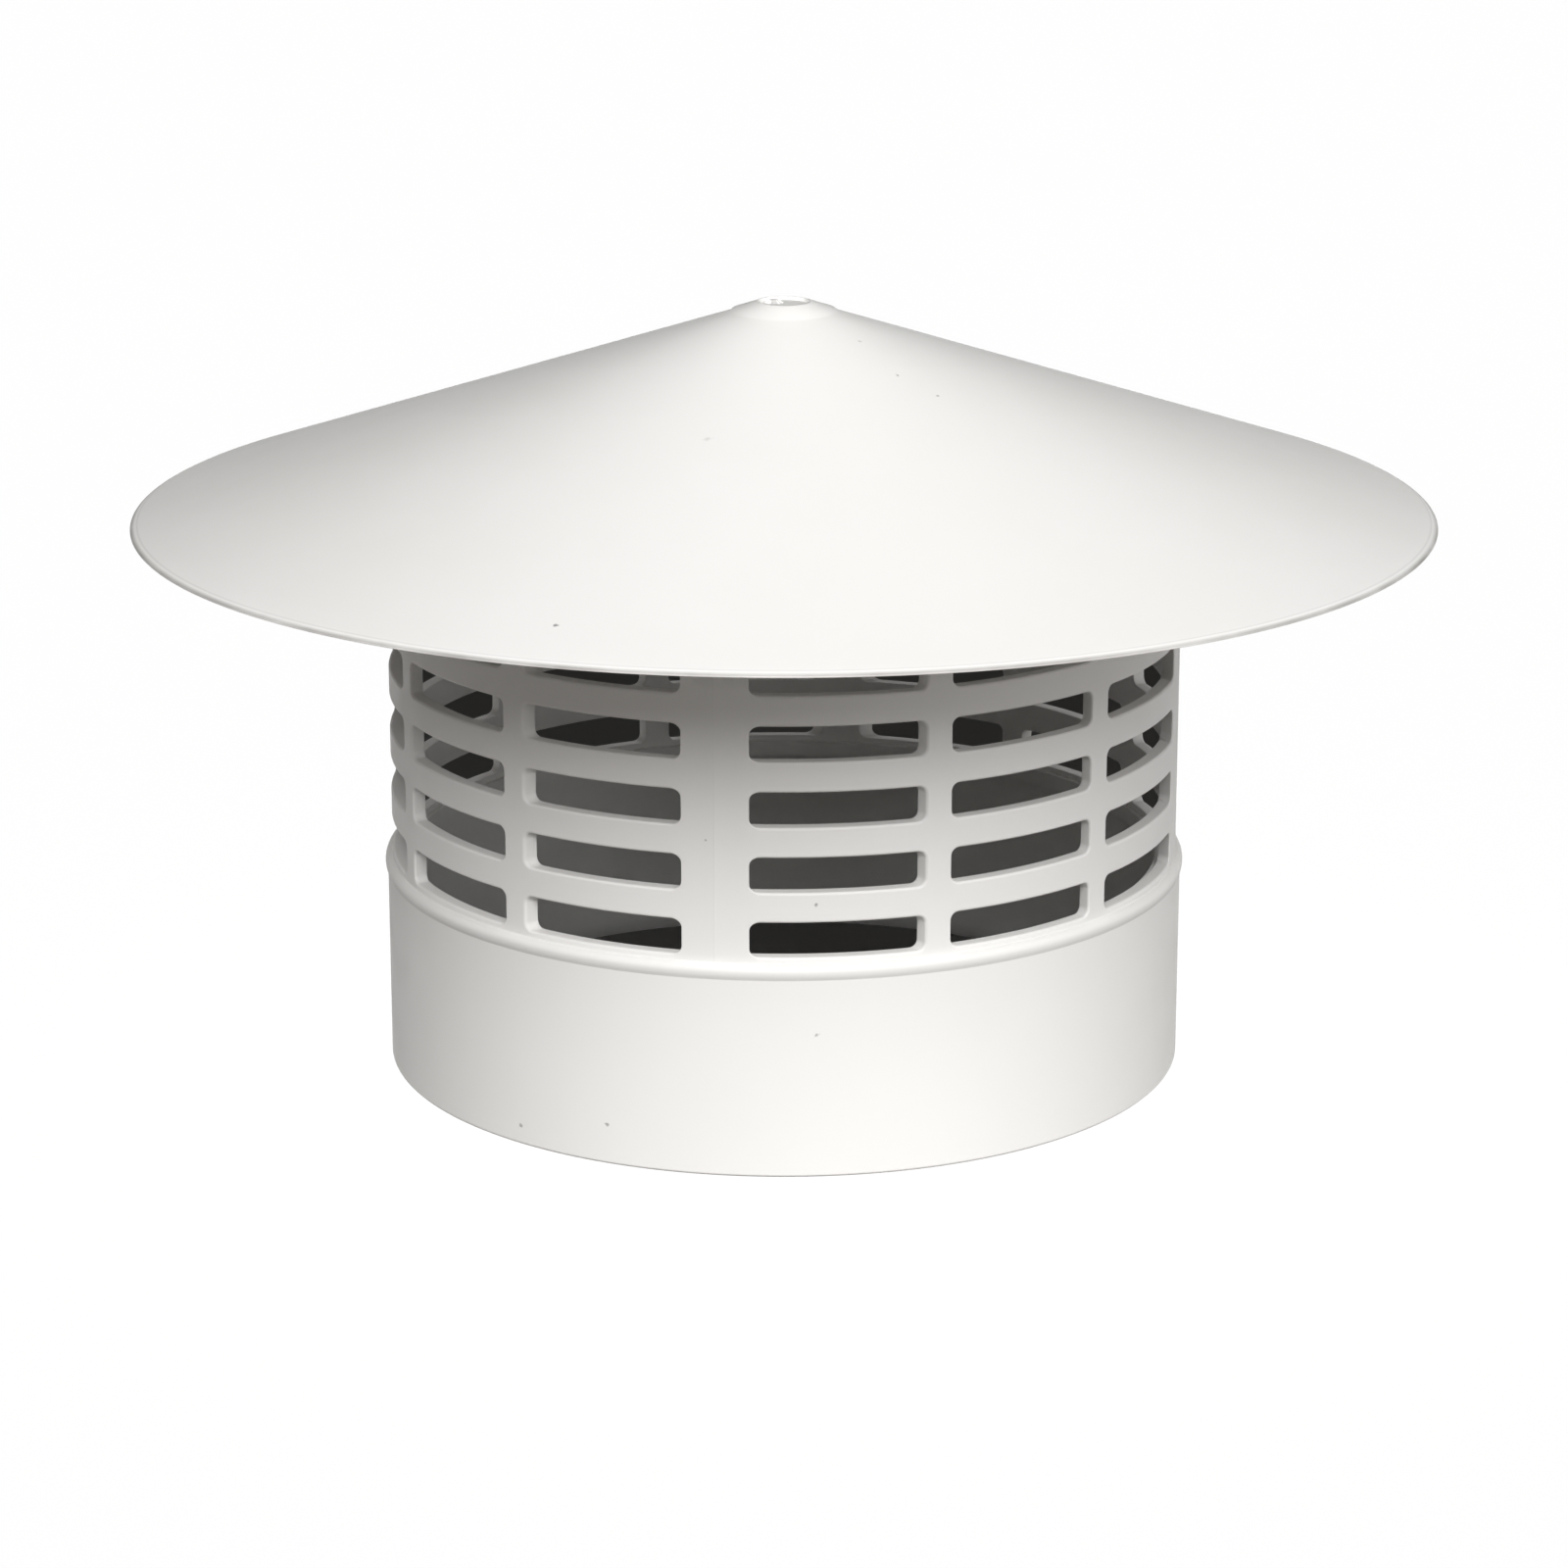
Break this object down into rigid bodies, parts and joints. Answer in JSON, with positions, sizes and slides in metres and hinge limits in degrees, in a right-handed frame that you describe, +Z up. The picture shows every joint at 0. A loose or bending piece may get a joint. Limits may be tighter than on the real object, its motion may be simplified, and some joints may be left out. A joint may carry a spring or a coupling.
{
  "type": "chimney cap",
  "caption": "White plastic chimney cap: a shallow conical hat on a slotted vent cage, with a plain collar below that pushes over the end of a vent pipe.",
  "frame": {"origin": "centre of the collar's open bottom edge, on the pipe axis", "axes": "+Z up the pipe axis towards the tip of the hat, X and Y through the four parting lines of the slotted cage"},
  "size_m": [0.1856, 0.1856, 0.1102],
  "materials": {
    "white_plastic": "satin white rigid plastic, as moulded"
  },
  "bodies": {
    "root": {"slotted_body": "white_plastic", "hat": "white_plastic"}
  },
  "joints": []
}
